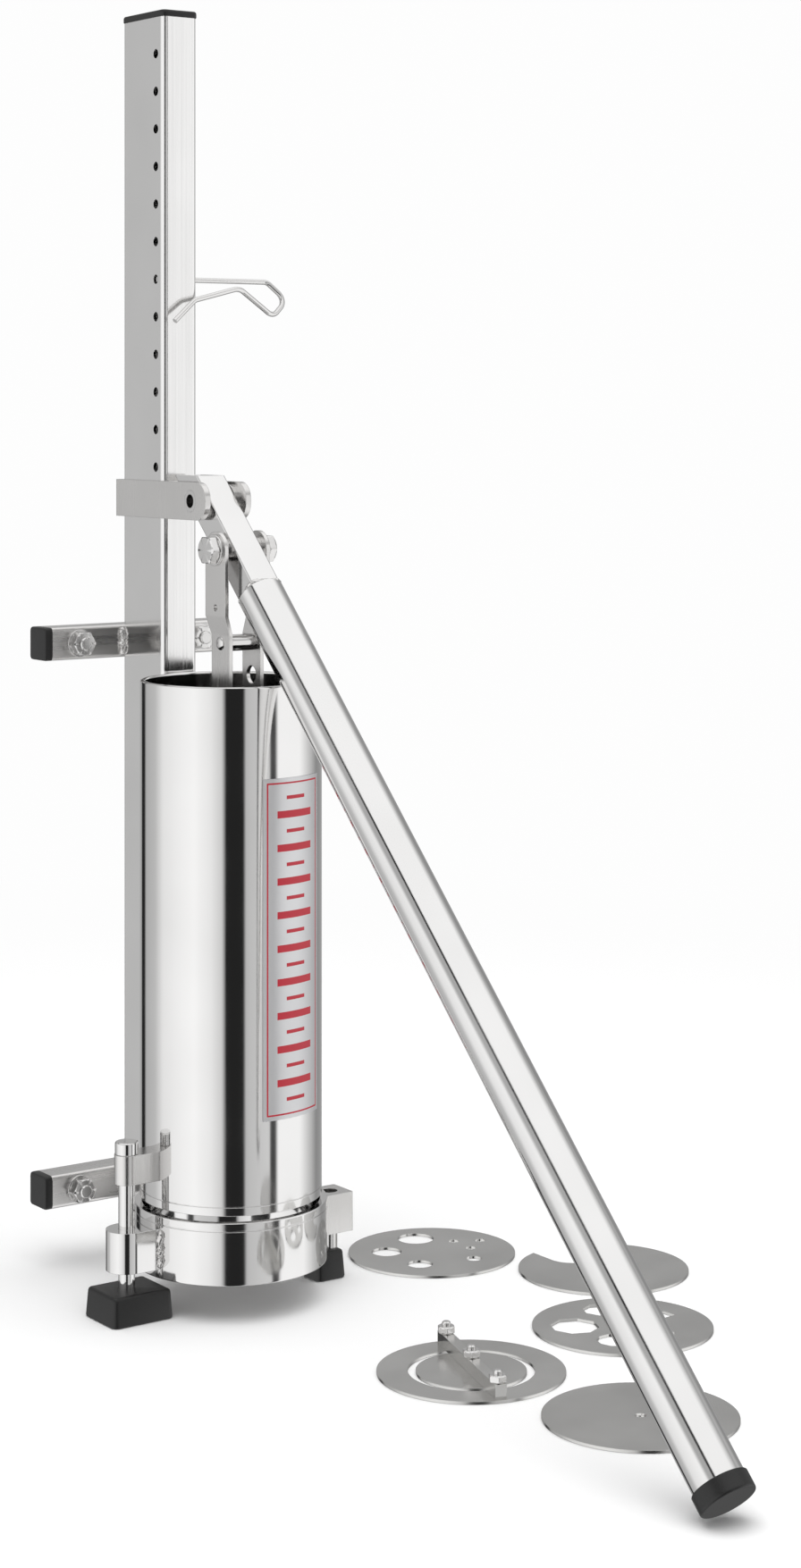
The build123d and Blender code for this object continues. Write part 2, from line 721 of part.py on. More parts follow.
with BuildPart() as plunger_spacers:
    for side in (-1, 1):
        with BuildSketch(Plane.YZ.offset(side * (head_side / 2 + side_gap / 2))):
            with Locations((bolt_y, bolt_z)):
                Circle(bolt_diameter / 2 + spacer_wall)
                Circle(bolt_diameter / 2, mode=Mode.SUBTRACT)
        extrude(amount=side * (strap_inside - head_side / 2 - side_gap / 2))
export(plunger_spacers.part, "plunger_spacers")

with BuildPart() as strap_rivet:
    with BuildSketch(Plane.YZ.offset(-low_inside)):
        with Locations((bolt_y, bolt_z - rivet_drop)):
            Circle(spacer_diameter / 2)
    extrude(amount=2 * low_inside)
    for side in (-1, 1):
        with BuildSketch(Plane.YZ.offset(side * low_inside)):
            with Locations((bolt_y, bolt_z - rivet_drop)):
                Circle(rivet_diameter / 2)
        extrude(amount=side * strap_thickness)
        with BuildSketch(Plane.YZ.offset(side * (low_inside + strap_thickness))):
            with Locations((bolt_y, bolt_z - rivet_drop)):
                Circle(rivet_head / 2)
        extrude(amount=side * rivet_head_height)
export(strap_rivet.part, "strap_rivet")

with BuildPart() as strap_foot_pin:
    with BuildSketch(Plane.YZ.offset(-low_inside - strap_thickness)):
        with Locations((bolt_y, foot_pin_z)):
            Circle(foot_pin_diameter / 2)
    extrude(amount=2 * low_inside + 2 * strap_thickness)
export(strap_foot_pin.part, "strap_foot_pin")

# ---------------------------------------------------------------- piston
piston_top = foot_pin_z - lug_stand
with BuildPart() as piston_plate:
    with BuildSketch(Plane.XY.offset(piston_top)):
        with Locations((0, barrel_y)):
            Circle(piston_radius)
    extrude(amount=-piston_thickness)
    chamfer(piston_plate.faces().sort_by(Axis.Z)[-1].edges(), 1)
export(piston_plate.part, "piston_plate")

with BuildPart() as piston_lug_block:
    with BuildSketch(Plane.YZ.offset(-piston_lug / 2)):
        lug_y = bolt_y - slot_travel / 2
        slot_length = slot_travel + foot_pin_diameter + 2 * slot_play
        lug_top = foot_pin_z + lug_rise
        with Locations((lug_y, (piston_top + lug_top) / 2)):
            Rectangle(slot_length + 2 * lug_wall, lug_top - piston_top)
        with Locations((lug_y, foot_pin_z)):
            SlotOverall(slot_length, foot_pin_diameter + 2 * slot_play, mode=Mode.SUBTRACT)
    extrude(amount=piston_lug)
    fillet(piston_lug_block.edges().filter_by(Axis.X).group_by(Axis.Z)[-1], 5)
export(piston_lug_block.part, "piston_lug")

# ---------------------------------------------------------------- hitch pin
clip_z = first_hole + clip_hole * hole_pitch
clip_start = -(post_width / 2 - clip_set_in)
clip_end = clip_start + clip_length
with BuildPart() as hitch_pin:
    with BuildLine() as clip_path:
        FilletPolyline((clip_start, hole_row_y, clip_z), (clip_end, hole_row_y, clip_z),
                       *[(clip_end + x, hole_row_y - forward, clip_z - drop)
                         for x, forward, drop in clip_bends],
                       radius=clip_radii)
    with BuildSketch(Plane(origin=clip_path.line @ 0, z_dir=clip_path.line % 0)):
        Circle(clip_wire / 2)
    sweep()
export(hitch_pin.part, "hitch_pin")

# ---------------------------------------------------------------- spare dies, flat on the floor
die_places = {"round_hole_die": (182, 0), "slotted_die": (262, -110), "polygon_die": (185, -225),
              "blank_die": (75, -375), "pipe_die_ring": (40, -240)}


def die_frame(name):
    x, y = die_places[name]
    return Plane(origin=(x, barrel_y + y, floor), x_dir=(1, 0, 0), z_dir=(0, 0, 1))


with BuildPart() as round_hole_die:
    with BuildSketch(die_frame("round_hole_die")):
        Circle(die_diameter / 2)
        for x, y, radius in round_holes:
            with Locations((x, y)):
                Circle(radius, mode=Mode.SUBTRACT)
    extrude(amount=die_thickness)
export(round_hole_die.part, "round_hole_die")

with BuildPart() as slotted_die:
    with BuildSketch(die_frame("slotted_die")):
        Circle(die_diameter / 2)
        Circle(slotted_centre_hole / 2, mode=Mode.SUBTRACT)
        with Locations((0, die_diameter / 2)):
            SlotOverall(2 * slot_depth, slot_width, rotation=90, mode=Mode.SUBTRACT)
    extrude(amount=die_thickness)
    chamfer(slotted_die.edges().filter_by(GeomType.CIRCLE).sort_by(SortBy.RADIUS)[:2]
            .sort_by(Axis.Z)[-1], 1)
export(slotted_die.part, "slotted_die")

with BuildPart() as polygon_die:
    with BuildSketch(die_frame("polygon_die")):
        Circle(die_diameter / 2)
        for (x, y, radius), sides in zip(polygon_holes, polygon_sides):
            with Locations((x, y)):
                RegularPolygon(radius, sides, mode=Mode.SUBTRACT)
        with Locations(square_hole):
            Rectangle(square_side, square_side, rotation=5, mode=Mode.SUBTRACT)
        with Locations(small_hole):
            Circle(small_hole_radius, mode=Mode.SUBTRACT)
    extrude(amount=die_thickness)
export(polygon_die.part, "polygon_die")

with BuildPart() as blank_die:
    with BuildSketch(die_frame("blank_die")):
        Circle(die_diameter / 2)
        Circle(blank_centre_hole / 2, mode=Mode.SUBTRACT)
    extrude(amount=die_thickness)
    chamfer(blank_die.edges().filter_by(GeomType.CIRCLE).sort_by(SortBy.RADIUS)[:2]
            .sort_by(Axis.Z)[-1], 1)
export(blank_die.part, "blank_die")

pipe_frame = die_frame("pipe_die_ring")
bolt_circle = (pipe_bore + die_diameter) / 4
bridge_turn = 72
bridge_places = [(0, 0)] + [(s * bolt_circle * cos(radians(bridge_turn)),
                             s * bolt_circle * sin(radians(bridge_turn))) for s in (-1, 1)]

with BuildPart() as pipe_die_ring:
    with BuildSketch(pipe_frame):
        Circle(die_diameter / 2)
        Circle(pipe_bore / 2, mode=Mode.SUBTRACT)
        with Locations(*bridge_places[1:]):
            Circle(bridge_bolt / 2, mode=Mode.SUBTRACT)
    extrude(amount=die_thickness)
export(pipe_die_ring.part, "pipe_die_ring")

with BuildPart() as pipe_die_core:
    with BuildSketch(pipe_frame):
        Circle(core_diameter / 2)
        Circle(bridge_bolt / 2, mode=Mode.SUBTRACT)
    extrude(amount=die_thickness)
export(pipe_die_core.part, "pipe_die_core")

with BuildPart() as pipe_die_bridge:
    with BuildSketch(pipe_frame.offset(die_thickness)):
        Rectangle(2 * (bolt_circle + bridge_end), bridge_width, rotation=bridge_turn)
        with Locations(*bridge_places):
            Circle(bridge_bolt / 2, mode=Mode.SUBTRACT)
    extrude(amount=bridge_height)
export(pipe_die_bridge.part, "pipe_die_bridge")

with BuildPart() as pipe_die_bolts:
    with BuildSketch(pipe_frame):
        with Locations(*bridge_places):
            Circle(bridge_bolt / 2)
    extrude(amount=die_thickness + bridge_height + bridge_bolt_rise)
export(pipe_die_bolts.part, "pipe_die_bolts")

with BuildPart() as pipe_die_nuts:
    with BuildSketch(pipe_frame.offset(die_thickness + bridge_height)):
        with Locations(*bridge_places):
            RegularPolygon(hexagon(bridge_nut), 6)
            Circle(bridge_bolt / 2, mode=Mode.SUBTRACT)
    extrude(amount=bridge_nut_height)
export(pipe_die_nuts.part, "pipe_die_nuts")
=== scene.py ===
import math
import bpy
import numpy as np
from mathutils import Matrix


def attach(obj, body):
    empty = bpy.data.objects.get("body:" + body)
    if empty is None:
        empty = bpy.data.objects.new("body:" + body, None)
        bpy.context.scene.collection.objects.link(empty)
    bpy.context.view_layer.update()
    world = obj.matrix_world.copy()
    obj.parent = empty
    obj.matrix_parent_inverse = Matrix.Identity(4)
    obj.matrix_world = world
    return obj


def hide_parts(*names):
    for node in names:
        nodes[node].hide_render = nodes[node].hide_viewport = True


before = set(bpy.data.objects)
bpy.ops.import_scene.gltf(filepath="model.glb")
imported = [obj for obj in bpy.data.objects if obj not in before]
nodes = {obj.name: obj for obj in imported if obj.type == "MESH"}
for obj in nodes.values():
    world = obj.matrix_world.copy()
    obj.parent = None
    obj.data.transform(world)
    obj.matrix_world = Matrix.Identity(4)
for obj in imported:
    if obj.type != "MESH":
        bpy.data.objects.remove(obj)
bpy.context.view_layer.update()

mm = 0.001
scene = bpy.context.scene
print("frame loaded:", len(nodes), "nodes")

# places that several pieces share, from the centre of the four wall studs
floorHeight = -265
barrelY = -156.5
barRise = 207
strapOutside = 19.3
fulcrum = np.array([0, -131, 317.0])
leverDown = math.radians(45)
leverAxis = np.array([0, -math.cos(leverDown), -math.sin(leverDown)])
boltReach = 49  # along the lever, from its fulcrum to the plunger bolt
boltY, boltZ = (fulcrum + boltReach * leverAxis)[1:]
poleRadius = 0.05  # a closed end keeps this small flat in its middle
sharpAngle = math.radians(35)  # edges that bend more than this stay crisp


# mesh building: a shape is an array of points and a list of faces
def unit(v):
    v = np.array(v, float)
    return v / np.linalg.norm(v)


def sideAxes(axis):
    # two directions square to the axis, then the axis; the first stays level where it can
    axis = unit(axis)
    first = np.cross([0, 0, 1], axis)
    upright = np.linalg.norm(first) < 0.01
    first = np.array([1.0, 0, 0]) if upright else unit(first)
    return first, np.cross(axis, first), axis


def rounded(corners, steps=5, closed=True):
    # each corner (radius, height, fillet) becomes a curve between its two edges, the sum of
    # (1 - t)^2 of its start, 2t(1 - t) of the corner and t^2 of its end. One more point on
    # each long edge keeps the normals of the flats straight
    largestShare, guard = 0.45, 1.5
    t = np.linspace(0, 1, steps)[:, None]
    count = len(corners)
    pts = []
    for n, (radius, height, fillet) in enumerate(corners):
        here = np.array([radius, height], float)
        if not closed and n in (0, count - 1):
            pts.append([here])
            continue
        back = np.array(corners[n - 1][:2], float) - here
        ahead = np.array(corners[(n + 1) % count][:2], float) - here
        backLength, aheadLength = np.linalg.norm(back), np.linalg.norm(ahead)
        size = min(fillet, largestShare * backLength, largestShare * aheadLength)
        start, end = here + back / backLength * size, here + ahead / aheadLength * size
        if guard * size < backLength / 2:
            pts.append([here + back / backLength * guard * size])
        pts.append((1 - t) ** 2 * start + 2 * t * (1 - t) * here + t ** 2 * end)
        if guard * size < aheadLength / 2:
            pts.append([here + ahead / aheadLength * guard * size])
    return np.concatenate(pts)


def ringFaces(rings, around, closeRings, capEnds):
    # four-sided faces from each ring to the next, and one face across each open end
    here = np.arange(around)
    after = (here + 1) % around
    ring = np.arange(rings if closeRings else rings - 1)[:, None]
    low, high = ring * around, (ring + 1) % rings * around
    faces = np.stack([low + here, low + after, high + after, high + here], -1).reshape(-1, 4).tolist()
    if capEnds:
        last = (rings - 1) * around
        faces += [here[::-1].tolist(), (here + last).tolist()]
    return faces


def spun(profile, origin, axis, around, closed=True, across=None):
    # the profile (radius, height) turned about the axis: origin + height * axis
    # + radius * (cos t * u + sin t * v). With across, each circle is cut to a hexagon of that
    # width across its flats, which makes the curved chamfer of a nut
    u, v, w = sideAxes(axis)
    t = np.linspace(0, 2 * math.pi, around, endpoint=False)
    radius = np.repeat(profile[:, :1], around, 1)
    if across:
        side, touch = math.pi / 3, 0.01
        flat = across / 2 / np.cos((t % side) - side / 2)
        radius = np.where(radius > across / 2 - touch, np.minimum(radius, flat), radius)
    pts = (np.array(origin) + profile[:, 1][:, None, None] * w
           + radius[..., None] * (np.cos(t)[:, None] * u + np.sin(t)[:, None] * v))
    return pts.reshape(-1, 3), ringFaces(len(profile), around, closed, not closed)


def block(origin, width, depth, corner, layers, axis=(0, 0, 1), wide=(1, 0, 0)):
    # rounded rectangles stacked along the axis, each layer a (height, inset). A point is the
    # middle of its corner's arc + c * (cos t, sin t), and t goes once round the four arcs
    arc, least = 7, 0.3
    w, u = unit(axis), unit(wide)
    v = np.cross(w, u)
    height, inset = np.array(layers, float).T[..., None]
    c = np.maximum(corner - inset, least)
    t = (np.linspace(0, math.pi / 2, arc) + np.arange(4)[:, None] * math.pi / 2).ravel()
    x = np.repeat([1, -1, -1, 1], arc) * (width / 2 - inset - c) + c * np.cos(t)
    y = np.repeat([1, 1, -1, -1], arc) * (depth / 2 - inset - c) + c * np.sin(t)
    pts = np.array(origin) + height[..., None] * w + x[..., None] * u + y[..., None] * v
    return pts.reshape(-1, 3), ringFaces(len(layers), 4 * arc, False, True)


def edgeLayers(low, high, height, taper=0):
    # layers of a block: low ones are (height, inset), high ones (depth below the top, inset)
    return low + [(height - below, taper + inset) for below, inset in high]


def weldBead(path, radius, lumps, seed, closed=False):
    # circles along the path, swollen by three ripples of the run s, as the puddles of a hand
    # weld are. An open bead narrows at its ends by the root of 1 - (2s / length - 1)^8
    look = {"around": 14, "puddle": 0.55, "puddleRate": 0.95, "fine": 0.3, "fineRate": 2.3,
            "lobe": 0.35, "lobes": 3, "lobeRate": 0.7, "thinnest": 0.08, "blunt": 8}
    path = np.array(path, float)
    ahead = np.roll(path, -1, 0) - np.roll(path, 1, 0) if closed else np.gradient(path, axis=0)
    ahead /= np.linalg.norm(ahead, axis=1)[:, None]
    normals = [sideAxes(ahead[0])[0]]
    for w in ahead:
        normals.append(unit(normals[-1] - np.dot(normals[-1], w) * w))
    normal = np.array(normals[1:])
    side = np.cross(ahead, normal)
    t = np.linspace(0, 2 * math.pi, look["around"], endpoint=False)
    s = np.concatenate([[0], np.cumsum(np.linalg.norm(np.diff(path, axis=0), axis=1))])[:, None]
    swell = 1 + lumps * (look["puddle"] * abs(np.sin(s * look["puddleRate"] + seed))
                         + look["fine"] * np.sin(s * look["fineRate"] + 2 * seed)
                         + look["lobe"] * np.sin(look["lobes"] * t + s * look["lobeRate"] + seed))
    if not closed:
        swell *= np.sqrt(np.maximum(look["thinnest"], 1 - (2 * s / s[-1] - 1) ** look["blunt"]))
    pts = path[:, None] + (radius * swell)[..., None] * (np.cos(t)[:, None] * normal[:, None]
                                                         + np.sin(t)[:, None] * side[:, None])
    return pts.reshape(-1, 3), ringFaces(len(path), look["around"], closed, not closed)


def joined(parts):
    pts, faces, start = [], [], 0
    for partPoints, partFaces in parts:
        pts.append(partPoints)
        faces += [[corner + start for corner in face] for face in partFaces]
        start += len(partPoints)
    return np.concatenate(pts), faces


def addPiece(name, shape, body, material, node):
    # the piece rides on the body and stands for the CAD node, which it hides
    pts, faces = shape
    mesh = bpy.data.meshes.new(name)
    mesh.from_pydata((pts * mm).tolist(), [], faces)
    mesh.polygons.foreach_set("use_smooth", [True] * len(mesh.polygons))
    mesh.validate()
    mesh.set_sharp_from_angle(angle=sharpAngle)
    mesh.materials.append(material)
    piece = bpy.data.objects.new(name, mesh)
    scene.collection.objects.link(piece)
    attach(piece, body)
    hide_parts(node)
    return piece


# nodes: an input is given a plain value, or the output of another node
def fill(tree, node, inputs):
    for place, value in inputs.items():
        if isinstance(value, bpy.types.NodeSocket):
            tree.links.new(value, node.inputs[place])
        else:
            node.inputs[place].default_value = value


def addNode(tree, kind, inputs=None, **settings):
    node = tree.nodes.new(kind)
    for name, value in settings.items():
        setattr(node, name, value)
    fill(tree, node, inputs or {})
    return node


def colourBetween(tree, mask, low, high):
    # colours or outputs, mixed by the mask; a mix node has its colours at places 6 and 7
    low, high = ((*colour, 1) if isinstance(colour, tuple) else colour for colour in (low, high))
    return addNode(tree, "ShaderNodeMix", {0: mask, 6: low, 7: high}, data_type="RGBA").outputs[2]


def valueBetween(tree, mask, low, high):
    # spreads the middle of a noise mask between two values
    middle = (0.3, 0.7)
    return addNode(tree, "ShaderNodeMapRange", {"Value": mask, "From Min": middle[0], "From Max": middle[1],
                                                "To Min": low, "To Max": high}).outputs["Result"]


def startMaterial(name):
    # a new material, its node tree and its main shader
    mat = bpy.data.materials.new(name)
    mat.use_nodes = True
    return mat, mat.node_tree, mat.node_tree.nodes["Principled BSDF"]


# materials
def makeGrainGroup():
    # brushed streaks and slow clouds from object coordinates, as two masks and a normal
    size = {"streakDetail": 4, "cloudScale": 14, "cloudDetail": 2, "edgeSamples": 4, "bumpHeight": 0.0004}
    tree = bpy.data.node_groups.new("steelGrain", "ShaderNodeTree")
    for name, kind, usual in (("Stretch", "NodeSocketVector", (1, 1, 1)), ("Bump", "NodeSocketFloat", 0.02),
                              ("Edge", "NodeSocketFloat", 0.0005)):
        tree.interface.new_socket(name=name, in_out="INPUT", socket_type=kind).default_value = usual
    for name, kind in (("Streak", "NodeSocketFloat"), ("Cloud", "NodeSocketFloat"),
                       ("Normal", "NodeSocketVector")):
        tree.interface.new_socket(name=name, in_out="OUTPUT", socket_type=kind)
    given = addNode(tree, "NodeGroupInput").outputs
    place = addNode(tree, "ShaderNodeTexCoord").outputs["Object"]
    scaled = addNode(tree, "ShaderNodeVectorMath", {0: place, 1: given["Stretch"]}, operation="MULTIPLY")
    streak = addNode(tree, "ShaderNodeTexNoise", {"Vector": scaled.outputs[0], "Scale": 1,
                                                  "Detail": size["streakDetail"]}).outputs["Fac"]
    cloud = addNode(tree, "ShaderNodeTexNoise", {"Vector": place, "Scale": size["cloudScale"],
                                                 "Detail": size["cloudDetail"]}).outputs["Fac"]
    bevel = addNode(tree, "ShaderNodeBevel", {"Radius": given["Edge"]}, samples=size["edgeSamples"])
    bump = addNode(tree, "ShaderNodeBump", {"Distance": size["bumpHeight"], "Strength": given["Bump"],
                                            "Height": streak, "Normal": bevel.outputs["Normal"]})
    addNode(tree, "NodeGroupOutput", {"Streak": streak, "Cloud": cloud, "Normal": bump.outputs["Normal"]})
    return tree


grainGroup = makeGrainGroup()


def addGrain(tree, look):
    inputs = {"Stretch": look["stretch"], "Bump": look["bump"], "Edge": look["edge"]}
    return addNode(tree, "ShaderNodeGroup", inputs, node_tree=grainGroup).outputs


def makeFinish(name, look):
    mat, tree, shader = startMaterial(name)
    grain = addGrain(tree, look)
    colour = colourBetween(tree, grain[look["colourMask"]], look["dark"], look["light"])
    fill(tree, shader, {"Metallic": look["metallic"], "Normal": grain["Normal"], "Base Color": colour,
                        "Roughness": valueBetween(tree, grain[look["roughMask"]], *look["rough"])})
    return mat


mirrorLook = {"metallic": 1, "colourMask": "Cloud", "roughMask": "Cloud", "stretch": (500, 500, 6),
              "bump": 0.012, "edge": 0.0004, "rough": (0.05, 0.10),
              "dark": (0.74, 0.735, 0.73), "light": (0.84, 0.835, 0.83)}
leverLook = dict(mirrorLook, stretch=(300, 20, 20), bump=0.004, rough=(0.07, 0.13))
satinLook = dict(mirrorLook, roughMask="Streak", stretch=(700, 700, 5), edge=0.0007, rough=(0.2, 0.28),
                 dark=(0.67, 0.66, 0.65), light=(0.80, 0.79, 0.78))
barLook = dict(satinLook, stretch=(9, 300, 300), bump=0.003, rough=(0.24, 0.32))
postLook = dict(satinLook, rough=(0.09, 0.16), dark=(0.76, 0.755, 0.75), light=(0.85, 0.845, 0.84))
dieLook = dict(mirrorLook, stretch=(12, 700, 12), bump=0.008, edge=0.0005, rough=(0.16, 0.26),
               dark=(0.52, 0.515, 0.50), light=(0.78, 0.775, 0.76))
brightLook = dict(mirrorLook, stretch=(220, 220, 220), bump=0.02, rough=(0.12, 0.2),
                  dark=(0.66, 0.65, 0.64), light=(0.8, 0.795, 0.79))
weldLook = dict(mirrorLook, roughMask="Streak", stretch=(420, 420, 420), bump=0.5, edge=0.0002,
                rough=(0.15, 0.3), dark=(0.56, 0.55, 0.54), light=(0.86, 0.85, 0.84))
rubberLook = {"metallic": 0, "colourMask": "Streak", "roughMask": "Cloud", "stretch": (900, 900, 900),
              "bump": 0.08, "edge": 0.0006, "rough": (0.34, 0.46),
              "dark": (0.003, 0.003, 0.003), "light": (0.009, 0.009, 0.009)}

mirror = makeFinish("mirrorSteel", mirrorLook)
leverSteel = makeFinish("leverSteel", leverLook)
satin = makeFinish("satinSteel", satinLook)
postSteel = makeFinish("postSteel", postLook)
barSteel = makeFinish("barSteel", barLook)
dieSteel = makeFinish("dieSteel", dieLook)
bright = makeFinish("fastenerSteel", brightLook)
weldSteel = makeFinish("weldSteel", weldLook)
rubber = makeFinish("blackRubber", rubberLook)

labelSize = {"width": 57, "height": 244, "low": -123, "radius": 66.9, "turn": -78, "columns": 32, "rows": 4}


def makeLabelFilm():
    # silver film with a thin red frame and a plain red scale, drawn from UV in millimetres
    width, height = labelSize["width"], labelSize["height"]
    look = {"inset": 3.6, "line": 0.6, "pitch": 24, "tick": 2.6, "long": 17, "short": 9, "bareEnd": 12,
            "silverLow": (0.60, 0.60, 0.61), "silverHigh": (0.70, 0.70, 0.71), "red": (0.50, 0.012, 0.03),
            "metallic": 0.75, "rough": 0.33, "stretch": (500, 500, 12), "bump": 0.03, "edge": 0.0001}
    mat, tree, shader = startMaterial("labelFilm")

    def calc(operation, *values):
        return addNode(tree, "ShaderNodeMath", dict(enumerate(values)), operation=operation).outputs[0]

    uv = addNode(tree, "ShaderNodeTexCoord").outputs["UV"]
    across, up, _ = addNode(tree, "ShaderNodeSeparateXYZ", {0: uv}).outputs
    x = calc("ABSOLUTE", calc("MULTIPLY", calc("SUBTRACT", across, 0.5), width))
    h = calc("MULTIPLY", calc("SUBTRACT", up, 0.5), height)
    y = calc("ABSOLUTE", h)
    # how far inside the frame's line each point lies
    inside = calc("MINIMUM", calc("SUBTRACT", width / 2 - look["inset"], x),
                  calc("SUBTRACT", height / 2 - look["inset"], y))
    frameLine = calc("LESS_THAN", calc("ABSOLUTE", inside), look["line"])
    # long marks at every pitch, with a short thin one halfway between
    half = look["pitch"] / 2
    fromLong, fromShort = calc("PINGPONG", h, half), calc("PINGPONG", calc("ADD", h, half), half)
    longMark = calc("MULTIPLY", calc("LESS_THAN", fromLong, look["tick"]), calc("LESS_THAN", x, look["long"]))
    shortMark = calc("MULTIPLY", calc("LESS_THAN", fromShort, look["tick"] / 2),
                     calc("LESS_THAN", x, look["short"]))
    within = calc("LESS_THAN", y, height / 2 - look["bareEnd"])
    ink = calc("MAXIMUM", frameLine, calc("MULTIPLY", calc("MAXIMUM", longMark, shortMark), within))
    grain = addGrain(tree, look)
    silver = colourBetween(tree, grain["Cloud"], look["silverLow"], look["silverHigh"])
    fill(tree, shader, {"Base Color": colourBetween(tree, ink, silver, look["red"]),
                        "Metallic": calc("MULTIPLY", calc("SUBTRACT", 1, ink), look["metallic"]),
                        "Roughness": look["rough"], "Normal": grain["Normal"]})
    return mat


labelFilm = makeLabelFilm()
print("materials made")

# finish of the CAD nodes that show as they are
finishes = (
    (postSteel, ["post_tube"]),
    (satin, ["barrel_saddles", "barrel_hinge_lug", "collar_latch_lug", "yoke_strap", "yoke_pad",
             "hinge_side_strap", "latch_side_strap", "piston_plate", "piston_lug"]),
    (barSteel, ["upper_wall_bar", "lower_wall_bar"]),
    (leverSteel, ["lever_head"]),
    (mirror, ["collar_hinge_lug"]),
    (dieSteel, ["round_hole_die", "slotted_die", "polygon_die", "blank_die", "pipe_die_ring",
                "pipe_die_core", "pipe_die_bridge"]),
    (bright, ["fulcrum_sleeve", "fulcrum_spacers", "plunger_spacers", "strap_foot_pin", "hitch_pin",
              "pin_circlip", "latch_foot_stud"]),
)
for material, names in finishes:
    for name in names:
        for materialSlot in nodes[name].material_slots:
            materialSlot.link = "OBJECT"
            materialSlot.material = material


# barrel, collar and label
def makeBarrel():
    # a tube with a shallow groove that sets off a band at its foot
    size = {"outer": 66.5, "inner": 62.5, "foot": -189, "top": 187, "band": 6, "groove": 0.6, "rim": 1.2,
            "footEdge": 0.5, "boreEdge": 0.4, "bandEdge": 0.2, "grooveEdge": 0.1, "around": 192}
    outer, inner, foot, top = size["outer"], size["inner"], size["foot"], size["top"]
    floor = outer - size["groove"]
    low = foot + size["band"]
    high = low + size["groove"]
    profile = rounded([(inner, foot, size["boreEdge"]), (outer, foot, size["footEdge"]),
                       (outer, low, size["bandEdge"]), (floor, low, size["grooveEdge"]),
                       (floor, high, size["grooveEdge"]), (outer, high, size["bandEdge"]),
                       (outer, top, size["rim"]), (inner, top, size["rim"])])
    barrel = spun(profile, (0, barrelY, 0), (0, 0, 1), size["around"])
    addPiece("barrel_skin", barrel, "frame", mirror, "barrel")


def makeCollar():
    # a ring with a ledge inside its foot for the die, and a groove below its top band
    size = {"outer": 70.5, "bore": 65, "ledge": 57, "foot": -237.5, "top": -193, "ledgeHeight": 6,
            "band": 5.5, "groove": 0.7, "grooveHeight": 0.8, "footEdge": 0.8, "topEdge": 0.7,
            "boreEdge": 0.6, "seatEdge": 0.3, "ledgeEdge": 0.4, "bandEdge": 0.2, "grooveEdge": 0.1,
            "around": 192}
    outer, bore, ledge = size["outer"], size["bore"], size["ledge"]
    seat, floor = size["foot"] + size["ledgeHeight"], outer - size["groove"]
    high = size["top"] - size["band"]
    low = high - size["grooveHeight"]
    profile = rounded([(ledge, size["foot"], size["ledgeEdge"]), (outer, size["foot"], size["footEdge"]),
                       (outer, low, size["bandEdge"]), (floor, low, size["grooveEdge"]),
                       (floor, high, size["grooveEdge"]), (outer, high, size["bandEdge"]),
                       (outer, size["top"], size["topEdge"]), (bore, size["top"], size["boreEdge"]),
                       (bore, seat, size["seatEdge"]), (ledge, seat, size["ledgeEdge"])])
    collar = spun(profile, (0, barrelY, 0), (0, 0, 1), size["around"])
    addPiece("collar_skin", collar, "collar", mirror, "die_collar")


def makeLabelPatch():
    # a sheet bent round the barrel: u is the angle across and v the height, each from 0 to 1
    size = labelSize
    columns, rows, radius = size["columns"], size["rows"], size["radius"]
    v, u = np.meshgrid(np.arange(rows + 1) / rows, np.arange(columns + 1) / columns, indexing="ij")
    angle = math.radians(size["turn"]) + (2 * u - 1) * size["width"] / 2 / radius
    pts = np.stack([radius * np.cos(angle), barrelY + radius * np.sin(angle),
                    size["low"] + v * size["height"]], -1)
    corner = np.arange(rows)[:, None] * (columns + 1) + np.arange(columns)
    faces = np.stack([corner, corner + 1, corner + columns + 2, corner + columns + 1], -1).reshape(-1, 4)
    piece = addPiece("label_film", (pts.reshape(-1, 3), faces.tolist()), "frame", labelFilm, "label_plate")
    layer = piece.data.uv_layers.new(name="labelUV")
    vertices = np.zeros(len(piece.data.loops), int)
    piece.data.loops.foreach_get("vertex_index", vertices)
    layer.data.foreach_set("uv", np.stack([u, v], -1).reshape(-1, 2)[vertices].ravel())


makeBarrel()
makeCollar()
makeLabelPatch()
print("barrel and collar made")


# lever
def makeLever():
    # a tube with a cap over its end; the cap just meets the floor at rest
    size = {"start": 93, "outer": 17, "inner": 15, "capBack": 9, "capEnd": 3, "capWall": 1.5, "edge": 0.3,
            "startEdge": 0.5, "capBackEdge": 0.8, "capEdge": 1.6, "around": 128, "capAround": 96}
    outer, inner, start = size["outer"], size["inner"], size["start"]
    capRadius = outer + size["capWall"]
    toFloor = (fulcrum[2] - floorHeight - capRadius * math.cos(leverDown)) / math.sin(leverDown)
    end = toFloor - size["capEnd"]
    tube = rounded([(inner, start, size["edge"]), (outer, start, size["startEdge"]),
                    (outer, end, size["edge"]), (inner, end, size["edge"])])
    addPiece("lever_skin", spun(tube, fulcrum, leverAxis, size["around"]), "lever", leverSteel, "lever_tube")
    cap = rounded([(outer, end - size["capBack"], size["edge"]),
                   (capRadius, end - size["capBack"], size["capBackEdge"]),
                   (capRadius, toFloor, size["capEdge"]), (poleRadius, toFloor, 0)], closed=False)
    endCap = spun(cap, fulcrum, leverAxis, size["capAround"], closed=False)
    addPiece("lever_cap_skin", endCap, "lever", rubber, "lever_end_cap")


